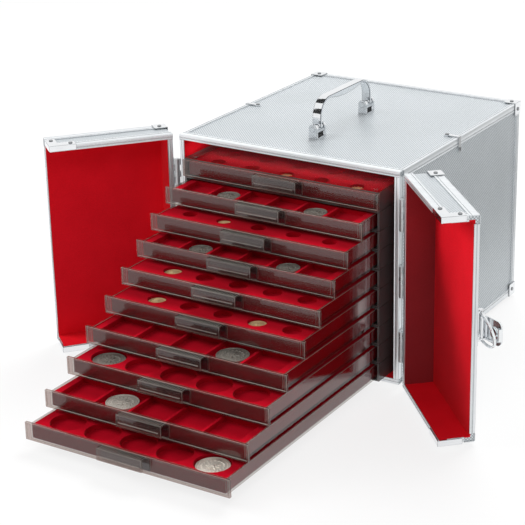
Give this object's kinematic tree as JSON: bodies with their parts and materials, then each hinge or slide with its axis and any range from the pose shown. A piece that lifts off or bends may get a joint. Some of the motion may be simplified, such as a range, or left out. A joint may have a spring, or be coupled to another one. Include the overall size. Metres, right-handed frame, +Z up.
{
  "type": "coin case",
  "caption": "Aluminium-edged carrying case with two swung-open door leaves and a stack of smoke-tinted coin drawers with red flock inserts, pulled out in steps.",
  "frame": {"origin": "on the table under the middle of the case body, in the plane of the feet's undersides", "axes": "+Z up, -Y out of the open front, +X to the right seen from the front"},
  "size_m": [0.5429, 0.5937, 0.2785],
  "materials": {
    "textured_board": "embossed dot pattern",
    "edge_aluminium": "bright anodised",
    "fitting_chrome": "polished",
    "hinge_steel": "dark plated",
    "lining_felt": "napped felt",
    "flock_insert": "short flock",
    "smoke_plastic": "clear smoke tint",
    "foot_rubber": "matt",
    "coin_silver": "worn struck silver",
    "coin_brass": "worn struck brass"
  },
  "bodies": {
    "case": {"board_top": "textured_board", "board_bottom": "textured_board", "board_left": "textured_board", "board_right": "textured_board", "board_back": "textured_board", "case_lining": "lining_felt", "case_edge_rails": "edge_aluminium", "front_frame": "edge_aluminium", "rear_corner_caps": "fitting_chrome", "edge_clips": "fitting_chrome", "case_rivets": "fitting_chrome", "feet": "foot_rubber", "handle_brackets": "fitting_chrome", "case_hinge_leaves": "hinge_steel", "box_sleeves": "smoke_plastic"},
    "handle": {"handle_bow": "fitting_chrome"},
    "left_door": {"left_door_boards": "textured_board", "left_door_lining": "lining_felt", "left_door_rails": "edge_aluminium", "left_door_caps": "fitting_chrome", "left_door_hinge_leaves": "hinge_steel", "keeper": "fitting_chrome"},
    "right_door": {"right_door_boards": "textured_board", "right_door_lining": "lining_felt", "right_door_rails": "edge_aluminium", "right_door_caps": "fitting_chrome", "right_door_hinge_leaves": "hinge_steel", "latch_plate": "fitting_chrome"},
    "latch_lever": {"latch_lever": "fitting_chrome"},
    "latch_bail": {"latch_bail": "fitting_chrome"},
    "drawer_01": {"drawer_01_tray": "smoke_plastic", "drawer_01_insert": "flock_insert", "drawer_01_coins": "coin_brass"},
    "drawer_02": {"drawer_02_tray": "smoke_plastic", "drawer_02_insert": "flock_insert", "drawer_02_coins": "coin_silver"},
    "drawer_03": {"drawer_03_tray": "smoke_plastic", "drawer_03_insert": "flock_insert", "drawer_03_coins": "coin_brass"},
    "drawer_04": {"drawer_04_tray": "smoke_plastic", "drawer_04_insert": "flock_insert", "drawer_04_coins": "coin_silver"},
    "drawer_05": {"drawer_05_tray": "smoke_plastic", "drawer_05_insert": "flock_insert", "drawer_05_coins": "coin_brass"},
    "drawer_06": {"drawer_06_tray": "smoke_plastic", "drawer_06_insert": "flock_insert", "drawer_06_coins": "coin_brass"},
    "drawer_07": {"drawer_07_tray": "smoke_plastic", "drawer_07_insert": "flock_insert", "drawer_07_coins": "coin_silver"},
    "drawer_08": {"drawer_08_tray": "smoke_plastic", "drawer_08_insert": "flock_insert", "drawer_08_coins": "coin_silver"},
    "drawer_09": {"drawer_09_tray": "smoke_plastic", "drawer_09_insert": "flock_insert", "drawer_09_coins": "coin_silver"},
    "drawer_10": {"drawer_10_tray": "smoke_plastic", "drawer_10_insert": "flock_insert", "drawer_10_coins": "coin_silver"}
  },
  "joints": [
    {"name": "handle_fold", "type": "hinge", "parent": "case", "child": "handle", "pos_m": [0, -0.0265, 0.2475], "axis": [0, 1, 0], "range_deg": [-85, 85]},
    {"name": "left_door_swing", "type": "hinge", "parent": "case", "child": "left_door", "pos_m": [-0.1369, -0.1456, 0.121], "axis": [0, 0, 1], "range_deg": [-49, 45]},
    {"name": "right_door_swing", "type": "hinge", "parent": "case", "child": "right_door", "pos_m": [0.1369, -0.1456, 0.121], "axis": [0, 0, 1], "range_deg": [-48, 46]},
    {"name": "latch_throw", "type": "hinge", "parent": "right_door", "child": "latch_lever", "pos_m": [0.2552, -0.20853, 0.123], "axis": [0, 0, 1], "range_deg": [-8, 158]},
    {"name": "bail_swing", "type": "hinge", "parent": "latch_lever", "child": "latch_bail", "pos_m": [0.2592, -0.21415, 0.123], "axis": [0, 0, 1], "range_deg": [-166.5, 8.8]},
    {"name": "drawer_01_slide", "type": "slide", "parent": "case", "child": "drawer_01", "axis": [0, -1, 0], "range_m": [0, 0.285]},
    {"name": "drawer_02_slide", "type": "slide", "parent": "case", "child": "drawer_02", "axis": [0, -1, 0], "range_m": [-0.033, 0.252]},
    {"name": "drawer_03_slide", "type": "slide", "parent": "case", "child": "drawer_03", "axis": [0, -1, 0], "range_m": [-0.061, 0.224]},
    {"name": "drawer_04_slide", "type": "slide", "parent": "case", "child": "drawer_04", "axis": [0, -1, 0], "range_m": [-0.087, 0.198]},
    {"name": "drawer_05_slide", "type": "slide", "parent": "case", "child": "drawer_05", "axis": [0, -1, 0], "range_m": [-0.115, 0.17]},
    {"name": "drawer_06_slide", "type": "slide", "parent": "case", "child": "drawer_06", "axis": [0, -1, 0], "range_m": [-0.144, 0.141]},
    {"name": "drawer_07_slide", "type": "slide", "parent": "case", "child": "drawer_07", "axis": [0, -1, 0], "range_m": [-0.177, 0.108]},
    {"name": "drawer_08_slide", "type": "slide", "parent": "case", "child": "drawer_08", "axis": [0, -1, 0], "range_m": [-0.209, 0.076]},
    {"name": "drawer_09_slide", "type": "slide", "parent": "case", "child": "drawer_09", "axis": [0, -1, 0], "range_m": [-0.245, 0.04]},
    {"name": "drawer_10_slide", "type": "slide", "parent": "case", "child": "drawer_10", "axis": [0, -1, 0], "range_m": [-0.277, 0.008]}
  ],
  "couplings": [
    {"joint": "bail_swing", "follows": "latch_throw", "ratio": -1.0506}
  ]
}
